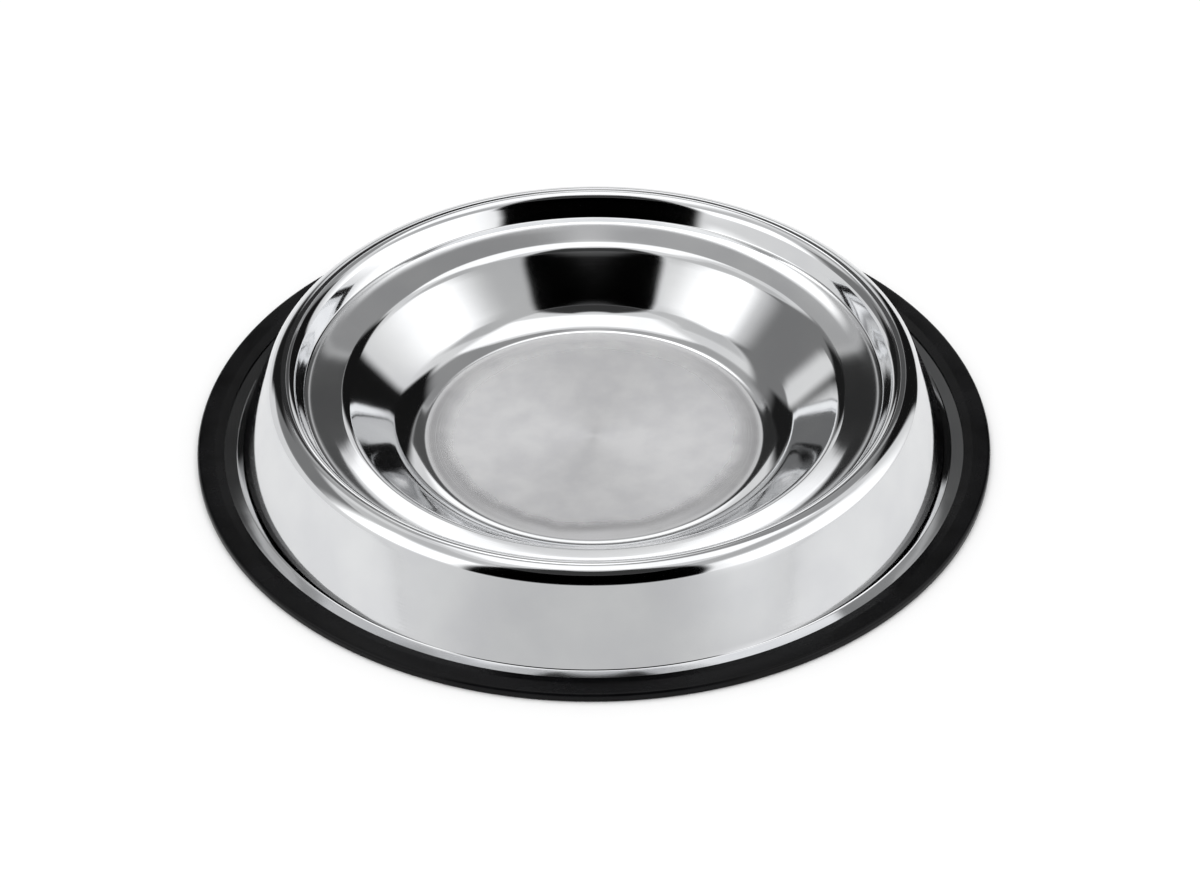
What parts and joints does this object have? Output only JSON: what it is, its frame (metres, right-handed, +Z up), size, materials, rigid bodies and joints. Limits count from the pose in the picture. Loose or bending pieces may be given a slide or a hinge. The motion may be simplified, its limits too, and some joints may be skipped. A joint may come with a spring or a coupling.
{
  "type": "pet bowl",
  "caption": "Shallow round steel pet bowl with a stepped well, a rolled rim, a skirt that slopes out to a flat flange, and a rubber ring that grips the flange as its foot.",
  "frame": {"origin": "on the floor under the bowl, at the middle of the ring's flat underside", "axes": "+Z up along the axis that the bowl is turned about; X and Y are alike"},
  "size_m": [0.254, 0.254, 0.0301],
  "materials": {
    "polished_steel": "mirror polished, with a satin turned floor in the well",
    "black_rubber": "satin moulded"
  },
  "bodies": {
    "root": {"steel_bowl": "polished_steel", "rubber_ring": "black_rubber"}
  },
  "joints": []
}
